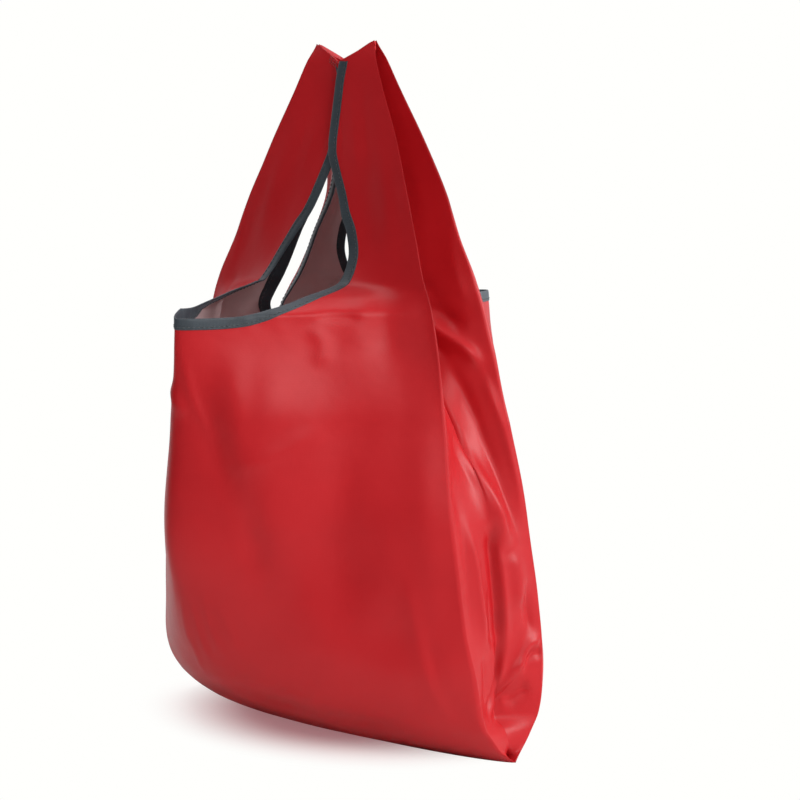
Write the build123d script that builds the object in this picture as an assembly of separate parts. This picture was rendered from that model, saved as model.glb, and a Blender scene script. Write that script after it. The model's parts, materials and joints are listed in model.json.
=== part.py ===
from build123d import *
import os

# A folding vest-style carrier bag of coated polyester, standing open.
# Millimetres, +Z up. X runs along the bottom seam, the front faces -Y.
# The origin is the middle of the bottom, on the surface that the bag stands on.

# Overall form
seam_width = 390.0  # bottom seam, corner to corner
yoke_height = 400.0  # where the four straps leave the body
rim_drop = 26.0  # lowest point of the front and back mouth, below the yoke
bag_height = 607.0  # outer end of each handle's top seam
mouth_depth = 400.0  # front mouth to back mouth, across the opened bag
base_depth = 62.0  # footprint of the closed bottom, front to back

# Cloth and tape
cloth = 1.2  # wall of the cloth stand-in
tape_width = 9.0  # bound edge, as seen
tape_proud = 0.6  # how far the tape stands off the cloth, each side
side_vent_drop = 12.0  # the gusset's slit starts this far below the mouth
joint_gap = 0.4  # between the straps and the body

# Mouth
mouth_half_width = 46.0  # between the straps, at the yoke
mouth_corner_radius = 24.0
vent_half_width = 11.0  # slit in the gusset, at the yoke

# Side gusset
corner_depth = 50.0  # widest half distance between front and back corner folds
pleat = 72.0  # how far the gusset folds in at the bottom

# Handles
handle_top_out = 34.0  # outer end of the top seam, from the middle
handle_top_in = 3.5  # inner end
handle_top_fall = 17.0  # inner end lies this much lower
handle_top_half = 7.0  # half thickness of the four gathered layers
top_seam = 6.0  # height of the sewn band

# Seam allowances, inside
allowance = 8.0
allowance_thick = 1.6
side_seam_start = 6.0  # above the bottom panel
side_seam_clear = 14.0  # below the slit

# Storage pouch, sewn by a tape inside the front wall
pouch_width = 131.0
pouch_height = 125.0
pouch_cloth = 1.0
pouch_space = 2.4  # between its two walls
pouch_hem = 6.0  # turned and stitched hem at the mouth
pouch_hem_proud = 0.5
loop_width = 12.0
loop_thick = 1.2
loop_length = 16.0
pouch_drop = 42.0  # sewn end of the loop, below the yoke
pouch_side = 78.0  # loop's distance from the middle, along X
pouch_gap = 0.3

# Stations of the body: share of the yoke height, corner half width as a share of the
# seam, corner half depth, belly as a share of the mouth, pleat share, and two shape
# exponents. A ridge exponent of 1 gives a folded front middle, and 2 a round one.
body_stations = [
    (0.0, 1.00, 0.08, None, 1.00, 2.0, 0.75),
    (0.03, 0.984, 0.32, 0.30, 0.83, 2.0, 0.86),
    (0.0875, 0.981, 0.70, 0.49, 0.57, 1.6, 0.84),
    (0.1875, 0.969, 0.88, 0.71, 0.29, 1.45, 0.90),
    (0.30, 0.928, 0.99, 0.93, 0.10, 1.3, 1.04),
    (0.50, 0.859, 0.98, 1.045, 0.06, 1.05, 1.00),
    (0.725, 0.774, 0.81, 1.025, 0.43, 1.1, 1.08),
    (0.935, 0.687, 0.74, 1.00, 0.64, 1.0, 1.50),
    (0.965, 0.667, 0.73, 0.76, 0.74, 1.0, 1.50),
    (1.0, 0.636, 0.72, 0.375, 0.86, 1.0, 1.50),
]
front_steps = [0.0, 0.16, 0.34, 0.54, 0.74, 0.89]

# Stations of a strap: share of the handle's rise, then the mouth edge, the corner fold
# and the slit edge, each as half width and half depth.
strap_stations = [
    (0.20, (34, 36), (107, 29), (58, 10)),
    (0.37, (14.5, 26), (94, 25), (36, 9)),
    (0.58, (2.5, 18), (76, 18), (20, 6)),
    (0.80, (2.5, 11), (53, 11), (9, 3)),
]


def section_points(station):
    """One quarter of a body section, front middle to gusset fold, as (x, -y)."""
    share, wide, deep, belly, pleated, ridge, power = station
    corner_x = wide * seam_width / 2
    corner_y = deep * corner_depth
    depth = base_depth / 2 if belly is None else belly * mouth_depth / 2
    points = []
    for step in front_steps:
        fall = (1 - step**ridge) ** power
        points.append((corner_x * step, corner_y + (depth - corner_y) * fall))
    points.append((corner_x, corner_y))
    points.append((corner_x - pleated * pleat, 0.0))
    return points


def closed_section(station):
    """Whole outline, counter-clockwise from the left front corner fold."""
    quarter = section_points(station)
    front = [(x, -y) for x, y in quarter]
    left_front = [(-x, y) for x, y in front[1:-1]][::-1]
    back = [(-x, -y) for x, y in left_front + front]
    return left_front + front + back[:-1] + [(-front[-1][0], 0.0)]


def offset_line(points, distance, closed):
    """The line moved to its left by a distance, with mitred corners."""
    count = len(points)
    moved = []
    for i, point in enumerate(points):
        here = Vector(*point)
        before = Vector(*points[i - 1]) if closed or i else None
        after = Vector(*points[(i + 1) % count]) if closed or i < count - 1 else None
        way_in = (here - before).normalized() if before else (after - here).normalized()
        way_out = (after - here).normalized() if after else way_in
        normal_in = Vector(-way_in.Y, way_in.X)
        normal_out = Vector(-way_out.Y, way_out.X)
        middle = (normal_in + normal_out).normalized()
        reach = here + middle * (distance / middle.dot(normal_in))
        moved.append((reach.X, reach.Y))
    return moved


def facet(*corners):
    return Face(Wire.make_polygon(corners, close=True))


def wall_lines(levels, first, last, inside=cloth, outside=0.0, closed=True):
    """Outer and inner line of a thin wall at each (height, outline), between two points."""
    lines = []
    for height, outline in levels:
        inner = offset_line(outline, inside, closed)
        outer = offset_line(outline, -outside, closed) if outside else outline
        lines.append([[(x, y, height) for x, y in line[first : last + 1]] for line in (outer, inner)])
    return lines


def folded(lines):
    """A thin solid of flat folds, both skins split alike, and alike left and right."""
    faces = [facet(*outer, *inner[::-1]) for outer, inner in (lines[0], lines[-1])]
    for below, above in zip(lines, lines[1:]):
        last = len(below[0]) - 1
        for low, high in zip(below, above):
            for k in range(last):
                a, b = (k, k + 1) if 2 * k < last else (k + 1, k)
                faces += [facet(low[a], low[b], high[b]), facet(low[a], high[b], high[a])]
        for end in (0, last):
            start, finish = below[0][end], above[1][end]
            faces += [facet(start, below[1][end], finish), facet(start, finish, above[0][end])]
    return Solid(Shell(faces))


def ruled(lines):
    """A thin solid of twisted straight-line faces."""
    wires = [Wire.make_polygon(outer + inner[::-1], close=True) for outer, inner in lines]
    return Solid.make_loft(wires, ruled=True)


# ---- body sections -------------------------------------------------------------------
rim_height = yoke_height - rim_drop
body_levels = [(s[0] * yoke_height, closed_section(s)) for s in body_stations]
half_count = len(front_steps)
right_corner = 2 * half_count  # index of the right front corner fold
right_fold = right_corner + 1
back_corner = right_corner + 2
yoke_station = section_points(body_stations[-1])
yoke_corner = yoke_station[-2]
yoke_fold = yoke_station[-1]


def mouth_tool(margin):
    """A long U-shaped block, for the front and back mouth, grown by a margin."""
    half = mouth_half_width + margin
    low = rim_height - margin
    top = yoke_height + 2 * tape_width
    tool = Pos(0, 0, (low + top) / 2) * Box(2 * half, 2 * mouth_depth, top - low)
    edges = tool.edges().filter_by(Axis.Y).group_by(Axis.Z)[0]
    return fillet(edges, mouth_corner_radius + margin / 2)


def vent_tool(margin):
    """A wedge across the gussets, for the slit at each side, grown by a margin."""
    low = rim_height - side_vent_drop - margin
    half = vent_half_width + margin
    profile = Plane.YZ * Polygon(
        (0, low),
        (half, yoke_height),
        (half, bag_height),
        (-half, bag_height),
        (-half, yoke_height),
        align=None,
    )
    return extrude(profile, seam_width, both=True)


tape_faces = (cloth + tape_proud, tape_proud)
front_wall = folded(wall_lines(body_levels, 0, right_corner))
front_tape_wall = ruled(wall_lines(body_levels[-4:], 0, right_corner, *tape_faces))
right_wall = folded(wall_lines(body_levels, right_corner, back_corner))
right_tape_wall = ruled(wall_lines(body_levels[-4:], right_corner, back_corner, *tape_faces))

front_panel = front_wall - mouth_tool(tape_width)
front_binding = front_tape_wall & (mouth_tool(tape_width) - mouth_tool(0))
right_gusset = right_wall - vent_tool(tape_width)
right_binding = right_tape_wall & (vent_tool(tape_width) - vent_tool(0))

# The closed bottom lies flat, inside the foot of the four walls.
floor_line = offset_line(body_levels[0][1], cloth, True)
bottom_panel = extrude(Face(Wire.make_polygon([(x, y, 0) for x, y in floor_line], close=True)), cloth)
fold_at_base = section_points(body_stations[0])[-1][0]
bottom_seam = Pos(0, 0, cloth + allowance / 2) * Box(
    2 * (fold_at_base - 4 * allowance), allowance_thick, allowance
)


def side_seam():
    """The gusset's seam allowance, standing inwards from the fold."""
    top = rim_height - side_vent_drop - side_seam_clear
    wires = []
    for height, outline in body_levels:
        if height > top:
            break
        start = offset_line(outline, cloth, True)[right_fold][0] - 0.02
        half = allowance_thick / 2
        ring = [(start - allowance, -half), (start, -half), (start, half), (start - allowance, half)]
        level = max(height, side_seam_start)
        wires.append(Wire.make_polygon([(x, y, level) for x, y in ring], close=True))
    return Solid.make_loft(wires, ruled=True)


# ---- one strap, right front ----------------------------------------------------------
rise = bag_height - yoke_height


def along(start, end, distance):
    """The point a distance from start towards end."""
    way = (Vector(*end) - Vector(*start)).normalized()
    point = Vector(*start) + way * distance
    return (point.X, point.Y)


def strap_levels():
    """Outline of the right front strap at each height: mouth edge, fold, slit edge."""
    share = vent_half_width / yoke_corner[1]
    slit_x = yoke_fold[0] + share * (yoke_corner[0] - yoke_fold[0])
    step = mouth_half_width / yoke_corner[0]
    fall = (1 - step) ** body_stations[-1][-1]
    belly = body_stations[-1][3] * mouth_depth / 2
    edge_y = yoke_corner[1] + (belly - yoke_corner[1]) * fall
    stations = [(0.0, (mouth_half_width, edge_y), yoke_corner, (slit_x, vent_half_width))]
    stations += strap_stations
    top = (handle_top_in, handle_top_half)
    stations.append((1.05, top, (handle_top_out, handle_top_half - 0.5), (handle_top_in + 1.5, 1.3)))
    levels = []
    for share, edge, corner, slit in stations:
        edge, corner, slit = [(x, -y) for x, y in (edge, corner, slit)]
        inner = along(edge, corner, tape_width)
        outer = along(slit, corner, tape_width)
        height = yoke_height + joint_gap + share * rise
        levels.append((height, [edge, inner, corner, outer, slit]))
    return levels


def above_handle(drop):
    """Everything over the handle's sloping top, lowered by a drop."""
    out_z = bag_height - drop
    in_z = out_z - handle_top_fall
    slope = (out_z - in_z) / (handle_top_out - handle_top_in)
    far = seam_width / 2
    profile = Plane.XZ * Polygon(
        (0, in_z - slope * handle_top_in),
        (far, out_z + slope * (far - handle_top_out)),
        (far, 2 * bag_height),
        (0, 2 * bag_height),
        align=None,
    )
    return extrude(profile, mouth_depth, both=True)


levels = strap_levels()
over_strap = above_handle(top_seam)
strap = folded(wall_lines(levels, 1, 3, closed=False)) - over_strap
mouth_tape = folded(wall_lines(levels, 0, 1, *tape_faces, closed=False)) - over_strap
slit_tape = folded(wall_lines(levels, 3, 4, *tape_faces, closed=False)) - over_strap
seam_block = Pos((handle_top_out + handle_top_in) / 2, 0, bag_height) * Box(
    handle_top_out - handle_top_in, 2 * handle_top_half + 2 * tape_proud, 2 * (handle_top_fall + top_seam)
)
handle_seam = seam_block & (above_handle(top_seam) - above_handle(0))

# ---- storage pouch -------------------------------------------------------------------
pouch_depth = 2 * pouch_cloth + pouch_space
lining = Box(pouch_width, pouch_depth, pouch_height)
lining = fillet(lining.edges().filter_by(Axis.Y), pouch_hem / 2)
hollow = Pos(0, 0, pouch_cloth) * Box(pouch_width - 2 * pouch_cloth, pouch_space, pouch_height)
sleeve = lining - hollow
seam_plane = Plane.XZ
pouch_front = split(sleeve, bisect_by=seam_plane, keep=Keep.TOP)
pouch_back = split(sleeve, bisect_by=seam_plane, keep=Keep.BOTTOM)
hem_outer = Box(pouch_width + 2 * pouch_hem_proud, pouch_depth + 2 * pouch_hem_proud, pouch_hem)
hem_inner = Box(pouch_width, pouch_depth, pouch_hem)
pouch_hem_band = Pos(0, 0, pouch_height / 2 - pouch_hem / 2) * (hem_outer - hem_inner)
hem_reach = pouch_depth / 2 + pouch_hem_proud  # middle of the pouch to its hem's face
pouch_loop = Pos(0, -hem_reach - loop_thick / 2, (pouch_height + loop_length - pouch_hem) / 2) * Box(
    loop_width, loop_thick, loop_length + pouch_hem
)


def wall_place():
    """Where the loop's sewn end meets the inside of the front wall, and its heading."""
    height = yoke_height - pouch_drop
    low, high = body_levels[-4], body_levels[-3]
    share = (height - low[0]) / (high[0] - low[0])
    inner_low = offset_line(low[1], cloth, True)[half_count + 1 : right_corner + 1]
    inner_high = offset_line(high[1], cloth, True)[half_count + 1 : right_corner + 1]
    line = [Vector(*a) * (1 - share) + Vector(*b) * share for a, b in zip(inner_low, inner_high)]
    for a, b in zip(line, line[1:]):
        if a.X <= pouch_side <= b.X:
            spot = a + (b - a) * ((pouch_side - a.X) / (b.X - a.X))
            return spot, (b - a).normalized(), height


spot, heading, pouch_top = wall_place()
inwards = Vector(-heading.Y, heading.X)
pouch_plane = Plane(
    origin=Vector(spot.X, spot.Y, pouch_top - loop_length - pouch_height / 2)
    + inwards * (hem_reach + loop_thick + pouch_gap),
    x_dir=heading,
    z_dir=(0, 0, 1),
)

# ---- write every piece ---------------------------------------------------------------
pieces = {
    "front_panel": front_panel,
    "back_panel": mirror(front_panel, about=Plane.XZ),
    "right_gusset": right_gusset,
    "left_gusset": mirror(right_gusset, about=Plane.YZ),
    "front_mouth_binding": front_binding,
    "back_mouth_binding": mirror(front_binding, about=Plane.XZ),
    "right_slit_binding": right_binding,
    "left_slit_binding": mirror(right_binding, about=Plane.YZ),
    "bottom_panel": bottom_panel,
    "bottom_seam": bottom_seam,
    "right_side_seam": side_seam(),
    "left_side_seam": mirror(side_seam(), about=Plane.YZ),
    "right_handle_seam": handle_seam,
    "left_handle_seam": mirror(handle_seam, about=Plane.YZ),
    "pouch_front": pouch_plane * pouch_front,
    "pouch_back": pouch_plane * pouch_back,
    "pouch_hem": pouch_plane * pouch_hem_band,
    "pouch_loop": pouch_plane * pouch_loop,
}
for name, solid in (("strap", strap), ("mouth_tape", mouth_tape), ("slit_tape", slit_tape)):
    back = mirror(solid, about=Plane.XZ)
    pieces["right_front_" + name] = solid
    pieces["right_back_" + name] = back
    pieces["left_front_" + name] = mirror(solid, about=Plane.YZ)
    pieces["left_back_" + name] = mirror(back, about=Plane.YZ)

os.makedirs("parts", exist_ok=True)
for name, shape in pieces.items():
    export_step(shape, f"parts/{name}.step")
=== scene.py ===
import bpy, bmesh, json, math
import numpy as np
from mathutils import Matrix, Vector, noise
from mathutils.bvhtree import BVHTree
from mathutils.kdtree import KDTree

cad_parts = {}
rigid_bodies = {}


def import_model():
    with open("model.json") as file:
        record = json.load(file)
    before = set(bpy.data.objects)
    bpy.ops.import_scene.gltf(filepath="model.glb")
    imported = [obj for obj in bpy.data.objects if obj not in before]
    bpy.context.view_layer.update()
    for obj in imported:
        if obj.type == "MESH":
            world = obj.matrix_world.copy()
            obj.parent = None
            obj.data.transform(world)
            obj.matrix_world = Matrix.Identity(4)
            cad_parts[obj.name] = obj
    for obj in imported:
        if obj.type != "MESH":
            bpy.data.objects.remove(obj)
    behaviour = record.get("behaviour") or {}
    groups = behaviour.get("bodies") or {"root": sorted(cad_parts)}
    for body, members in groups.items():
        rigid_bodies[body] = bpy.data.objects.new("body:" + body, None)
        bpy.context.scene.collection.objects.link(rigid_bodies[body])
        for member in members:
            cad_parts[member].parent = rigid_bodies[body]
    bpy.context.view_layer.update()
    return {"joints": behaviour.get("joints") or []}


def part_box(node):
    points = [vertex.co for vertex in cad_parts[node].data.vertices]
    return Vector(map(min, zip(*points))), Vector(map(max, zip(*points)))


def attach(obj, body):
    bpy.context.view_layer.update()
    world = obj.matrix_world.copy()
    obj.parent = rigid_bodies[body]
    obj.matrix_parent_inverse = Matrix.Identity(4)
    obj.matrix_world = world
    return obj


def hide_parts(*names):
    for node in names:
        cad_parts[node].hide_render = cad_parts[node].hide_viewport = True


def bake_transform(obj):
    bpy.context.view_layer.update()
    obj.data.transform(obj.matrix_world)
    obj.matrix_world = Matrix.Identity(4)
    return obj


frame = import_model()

scene = bpy.context.scene
scene.view_settings.view_transform = "Standard"
mm = 0.001

# camera
camera = {
    "place": (1.178359, -1.220986, 0.482911), "target": (0.03466, 0.03165, 0.29167),
    "lens": 86.225, "sensor": 36, "farthest": 60,
}
cameraData = bpy.data.cameras.new("camera")
cameraData.lens, cameraData.sensor_width, cameraData.clip_end = (camera[k] for k in ("lens", "sensor", "farthest"))
cameraObject = bpy.data.objects.new("camera", cameraData)
cameraObject.location = camera["place"]
looking = Vector(camera["target"]) - Vector(camera["place"])
cameraObject.rotation_euler = looking.to_track_quat("-Z", "Y").to_euler()
scene.collection.objects.link(cameraObject)
scene.camera = cameraObject
print("camera set")

# node helpers


def hexLinear(text):
    parts = [int(text[i : i + 2], 16) / 255 for i in (1, 3, 5)]
    return tuple(c / 12.92 if c <= 0.04045 else ((c + 0.055) / 1.055) ** 2.4 for c in parts) + (1.0,)


def addNode(tree, kind, settings=None, links=None, **values):
    node = tree.nodes.new(kind)
    for name, value in (settings or {}).items():
        setattr(node, name, value)
    for key, value in values.items():
        node.inputs[key.replace("_", " ")].default_value = value
    for key, source in (links or {}).items():
        tree.links.new(source, node.inputs[key])
    return node


def newMaterial(name):
    material = bpy.data.materials.new(name)
    material.use_nodes = True
    material.node_tree.nodes.clear()
    return material, material.node_tree


def noiseScale(size):
    # a noise texture's scale, in a scene of metres, for patches of a size in millimetres
    return 1000 / size


def waveScale(pitch):
    # the same for bands, of which a wave texture has 20 in every 2 pi of its scale
    return 1000 * 2 * math.pi / 20 / pitch


def clothMaterial(name, look):
    # woven cloth: uneven tone in patches, crossed threads, and light that comes through where it is thin
    material, tree = newMaterial(name)
    place = addNode(tree, "ShaderNodeTexCoord").outputs["Object"]
    tone = addNode(
        tree, "ShaderNodeTexNoise", links={"Vector": place}, Scale=noiseScale(look["patch"]), Detail=4.0, Roughness=0.6,
    )
    fine = addNode(
        tree, "ShaderNodeTexNoise", links={"Vector": place}, Scale=noiseScale(look["grain"]), Detail=2.0, Roughness=0.5,
    )
    tint = addNode(tree, "ShaderNodeValToRGB", links={"Fac": tone.outputs["Fac"]})
    for element, position, colour in zip(tint.color_ramp.elements, (0.32, 0.68), ("dark", "light")):
        element.position, element.color = position, hexLinear(look[colour])  # the noise hardly leaves this range
    threads = []
    for axis in ("X", "Z"):
        wave = addNode(
            tree, "ShaderNodeTexWave", {"wave_type": "BANDS", "bands_direction": axis, "wave_profile": "SIN"},
            {"Vector": place}, Scale=waveScale(look["thread"]), Distortion=0.6, Detail=1.0,
        )
        threads.append(wave.outputs["Fac"])
    weave = addNode(tree, "ShaderNodeMath", {"operation": "MULTIPLY"}, {0: threads[0], 1: threads[1]})
    grain = addNode(tree, "ShaderNodeMath", {"operation": "ADD"}, {0: weave.outputs[0], 1: fine.outputs["Fac"]})
    soft = addNode(
        tree, "ShaderNodeBump", links={"Height": tone.outputs["Fac"]}, Strength=0.25, Distance=look["rippleHeight"],
    )
    bump = addNode(
        tree, "ShaderNodeBump", links={"Height": grain.outputs[0], "Normal": soft.outputs[0]},
        Strength=look["grainStrength"], Distance=0.0002,
    )
    uneven = 0.05  # handling polishes and dulls cloth here and there
    gloss = addNode(
        tree, "ShaderNodeMapRange", links={"Value": fine.outputs["Fac"]},
        To_Min=look["roughness"] - uneven, To_Max=look["roughness"] + uneven,
    )
    # its emission is a painted glow that stands in for daylight come through the cloth; only the coat has one
    shader = addNode(
        tree, "ShaderNodeBsdfPrincipled",
        links={"Base Color": tint.outputs[0], "Roughness": gloss.outputs[0], "Normal": bump.outputs[0]},
        IOR=look["ior"], Specular_IOR_Level=look["specular"], Sheen_Weight=look["sheen"], Sheen_Roughness=0.4,
        Emission_Color=hexLinear(look["paintedGlowTint"]), Emission_Strength=look["glow"],
    )
    shader.inputs["Sheen Tint"].default_value = hexLinear(look["sheenTint"])
    # thin cloth lets some light through, tinted by its colour
    glow = addNode(tree, "ShaderNodeBsdfTranslucent", links={"Color": tint.outputs[0], "Normal": soft.outputs[0]})
    thin = addNode(tree, "ShaderNodeMixShader", links={1: shader.outputs[0], 2: glow.outputs[0]}, Fac=look["through"])
    addNode(tree, "ShaderNodeOutputMaterial", links={"Surface": thin.outputs[0]})
    return material


# patch, grain and thread are in millimetres, ripple heights in metres
coarser = 7.896  # the real threads are about 0.25 mm apart: drawn about eight times as coarse, so that they show
# plain weave of fine yarn, calendered smooth: a soft satin shine over an almost even red
redPolyester = clothMaterial("redProofedPolyester", {
    "dark": "#B0141B", "light": "#BA1A20", "patch": 111.11, "grain": 1.1111, "thread": 0.25 * coarser,
    "rippleHeight": 0.004, "grainStrength": 0.10, "roughness": 0.38, "ior": 1.5, "specular": 0.25, "sheen": 0.0,
    "sheenTint": "#F0B0A8", "through": 0.18, "glow": 0.0, "paintedGlowTint": "#000000",
})
# rubbed-on proofing over the back of the weave: dull, a little cloudy, lit from behind by the red, and given a faint
# painted glow
greyCoating = clothMaterial("greyProofingCoat", {
    "dark": "#C4AEAE", "light": "#D0BCBC", "patch": 71.43, "grain": 1.4286, "thread": 0.25 * coarser,
    "rippleHeight": 0.004, "grainStrength": 0.08, "roughness": 0.55, "ior": 1.48, "specular": 0.4, "sheen": 0.05,
    # the glow and its tint here are a painted glow that brightens the coated inside, in place of daylight through the
    # cloth
    "sheenTint": "#C8B0B0", "through": 0.45, "glow": 0.07, "paintedGlowTint": "#D2C6C6",  # daylight through the cloth
})
# folded grosgrain: dense and matte, with a bloom of loose fibre at a low angle
greyTape = clothMaterial("greyWovenTape", {
    "dark": "#20272D", "light": "#2B343B", "patch": 25.0, "grain": 0.7143, "thread": 0.25 / 1.4 * coarser,
    "rippleHeight": 0.002, "grainStrength": 0.35, "roughness": 0.5, "ior": 1.5, "specular": 0.45, "sheen": 0.25,
    "sheenTint": "#A8B4C0", "through": 0.0, "glow": 0.0, "paintedGlowTint": "#000000",
})


def threadMaterial(name, colour, roughness):
    # spun polyester sewing thread: a matte strand with a slight glint
    material, tree = newMaterial(name)
    place = addNode(tree, "ShaderNodeTexCoord").outputs["Object"]
    twist = addNode(tree, "ShaderNodeTexNoise", links={"Vector": place}, Scale=noiseScale(0.3846), Detail=1.0)
    bump = addNode(tree, "ShaderNodeBump", links={"Height": twist.outputs["Fac"]}, Strength=0.4, Distance=0.0002)
    shader = addNode(
        tree, "ShaderNodeBsdfPrincipled", links={"Normal": bump.outputs[0]},
        Base_Color=hexLinear(colour), Roughness=roughness, Sheen_Weight=0.2,
    )
    addNode(tree, "ShaderNodeOutputMaterial", links={"Surface": shader.outputs[0]})
    return material


greyThread = threadMaterial("greySewingThread", "#23272A", 0.6)
redThread = threadMaterial("redSewingThread", "#7E1013", 0.6)
print("materials made")

# form of the bag


def throughKeys(keys):
    # smooth curve through (place, values...) rows, without overshoot
    table = np.array(keys, float)
    x, y = table[:, 0], table[:, 1:]
    h = np.diff(x)[:, None]
    d = np.diff(y, axis=0) / h
    m = np.vstack([d[:1], np.zeros_like(d[1:]), d[-1:]])
    before, after = d[:-1], d[1:]
    w1, w2 = 2 * h[1:] + h[:-1], h[1:] + 2 * h[:-1]
    same = before * after > 0
    m[1:-1][same] = ((w1 + w2) / (w1 / np.where(same, before, 1) + w2 / np.where(same, after, 1)))[same]

    def at(place):
        place = np.clip(np.asarray(place, float), x[0], x[-1])
        i = np.clip(np.searchsorted(x, place, side="right") - 1, 0, len(x) - 2)
        step = h[i, 0]
        t, s = ((place - x[i]) / step)[..., None], step[..., None]
        return (
            (2 * t**3 - 3 * t**2 + 1) * y[i] + (t**3 - 2 * t**2 + t) * s * m[i]
            + (3 * t**2 - 2 * t**3) * y[i + 1] + (t**3 - t**2) * s * m[i + 1]
        )

    return at


# millimetres; by height: corner fold x and y, depth at the middle, gusset fold x, and two shape exponents
bag = {
    "sections": [
        (0, 195, 0.1, 31, 123, 2.0, 0.75), (5, 193.4, 6.6, 46, 182, 2.0, 0.80), (12, 191.8, 16, 66, 187.5, 2.0, 0.86),
        (24, 191.4, 26.5, 92, 184, 1.85, 0.85), (35, 191.2, 35, 115, 171, 1.6, 0.84),
        (48, 190.8, 39.5, 136, 169, 1.55, 0.85), (75, 189, 44, 168, 174, 1.45, 0.90),
        (120, 181, 49.4, 192, 175.5, 1.3, 1.04), (200, 167.5, 49, 209, 163, 1.05, 1.0),
        (290, 151, 40.4, 202, 114, 1.1, 1.08), (374, 134, 37, 200, 88, 1.0, 1.5), (386, 130, 36.5, 152, 76.8, 1.0, 1.5),
        (400, 124, 36, 75, 62, 1.0, 1.5), (441, 107, 29, 40.1, 32.2, 1.0, 1.2), (477, 94, 25, 26.2, 3.4, 1.0, 1.0),
        (520, 76, 18, 18, -8, 1.0, 1.0), (566, 53, 11, 11, -7.5, 1.0, 1.0), (590, 42, 7, 8.5, -5, 1.0, 1.0),
        (607, 34.5, 1.2, 7, -2, 1.0, 1.0), (617, 31, 1, 7, -2, 1.0, 1.0),
    ],
    "mouthEdge": [  # run along the edge from its middle, then x and height
        (0, 0, 374), (35, 14, 374), (70, 27, 374.8), (106, 37, 378.5), (142, 43.5, 385), (165, 45.6, 393),
        (182, 46, 402), (200, 44, 419), (223, 35.5, 440), (244, 23, 458), (268, 12.8, 481), (286, 6.5, 497),
        (300, 2.4, 510), (316, 1.4, 525), (357, 1.6, 566), (381, 3, 590), (408, 4, 617),
    ],
    "slitEdge": [  # run along the edge from its foot, then half width and height
        (0, 0, 362), (4, 3.6, 363.2), (9, 6.6, 367.2), (17, 8.8, 375), (30, 10.2, 388), (44, 11, 402),
        (83, 10, 441), (119, 9, 477), (163, 6, 520), (209, 2.8, 566), (233, 1.7, 590), (250, 0.35, 607),
        (260, 0.3, 617),
    ],
    "tipAtCorner": 300,  # the row that meets the mouth's lowest point ends this high on the corner fold
    "mouthLow": 374, "slitFoot": 362, "yoke": 402, "clothThick": 0.2,
    "noseRound": 0.045,  # the cloth bends round the middle of the front, with no sharp fold
    # top edge of a strap: height at its outer and inner end, the inner end's x and the edge's width
    "topOuter": 606, "topInner": 590, "topInnerX": 3.5, "topWidth": 30.5,
    # runs along the mouth's and the slit's edge: at the yoke, at the top of the tapes, and of the cloth
    "mouthRuns": (182, 380, 380.5), "slitRuns": (44, 233, 260),
}
detail = {"panelColumns": 70, "gussetColumns": 28, "lowRows": 130, "mouthRows": 38, "strapRows": 60, "baseRows": 6}
sectionAt, mouthAt, slitAt = (throughKeys(bag[k]) for k in ("sections", "mouthEdge", "slitEdge"))
mouthLow, (mouthYoke, mouthTop, mouthEnd) = bag["mouthLow"], bag["mouthRuns"]
slitYoke, slitTop, slitEnd = bag["slitRuns"]


def wallPoint(ratio, z):
    # front right quarter: ratio 0 at the middle, 1 at the corner fold
    cornerX, cornerY, middle, _, ridge, power = np.moveaxis(sectionAt(z), -1, 0)
    ratio = np.clip(ratio, 0, 1)
    nose = bag["noseRound"]
    away = (np.sqrt(ratio**2 + nose**2) - nose) / (math.sqrt(1 + nose**2) - nose)
    depth = cornerY + (middle - cornerY) * (1 - np.clip(away, 0, 1) ** ridge) ** power
    return np.stack([ratio * cornerX, -depth, np.asarray(z, float) + 0 * ratio], axis=-1)


def gussetPoint(y, z):
    cornerX, cornerY, _, foldX, _, _ = np.moveaxis(sectionAt(z), -1, 0)
    return np.stack([foldX + (cornerX - foldX) * y / cornerY, -y, np.asarray(z, float) + 0 * y], axis=-1)


slitTable = slitAt(np.linspace(0, slitEnd, 2 * slitEnd + 1))


def slitHalf(z):
    return float(np.interp(z, slitTable[:, 1], slitTable[:, 0]))


def topHeight(x):
    rise = (bag["topOuter"] - bag["topInner"]) / bag["topWidth"]
    return bag["topInner"] + rise * (x - bag["topInnerX"])


def wallRows():
    # height and start of each row across a quarter of the wall: (ratio, z) at the inner end, z at the corner
    rows = []
    for k in range(detail["lowRows"]):
        share = k / detail["lowRows"]
        rows.append((0.0, mouthLow * share, bag["tipAtCorner"] * share))
    for k in range(detail["mouthRows"]):
        share = k / detail["mouthRows"]
        x, z = mouthAt(mouthYoke * share)
        rows.append((x / sectionAt(z)[0], z, bag["tipAtCorner"] + (bag["yoke"] - bag["tipAtCorner"]) * share**0.9))
    runs = np.linspace(mouthYoke, mouthEnd, detail["strapRows"] + 1)
    for k, run in enumerate(runs):
        x, z = mouthAt(run)
        share = k / detail["strapRows"]
        rows.append((x / sectionAt(z)[0], z, bag["yoke"] + (bag["topOuter"] - bag["yoke"]) * share))
    return rows


rows = wallRows()
yokeRow = detail["lowRows"] + detail["mouthRows"]
acrossWall = np.linspace(0, 1, detail["panelColumns"] + 1)
acrossGusset = np.linspace(0, 1, detail["gussetColumns"] + 1)

points, faces, groups, shares = [], [], [], []


def addGrid(grid, rowGroup, flip, cornerShare, gussetShare):
    # shares: how much of each point's place comes from the corner fold and from the gusset's fold
    start, (count, width) = len(points), grid.shape[:2]
    points.extend(grid.reshape(-1, 3).tolist())
    shares.extend([(cornerShare[j], gussetShare[j]) for _ in range(count) for j in range(width)])
    for i in range(count - 1):
        for j in range(width - 1):
            a = start + i * width + j
            quad = (a, a + 1, a + width + 1, a + width)
            faces.append(quad[::-1] if flip else quad)
            groups.append(rowGroup(i))


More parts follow.
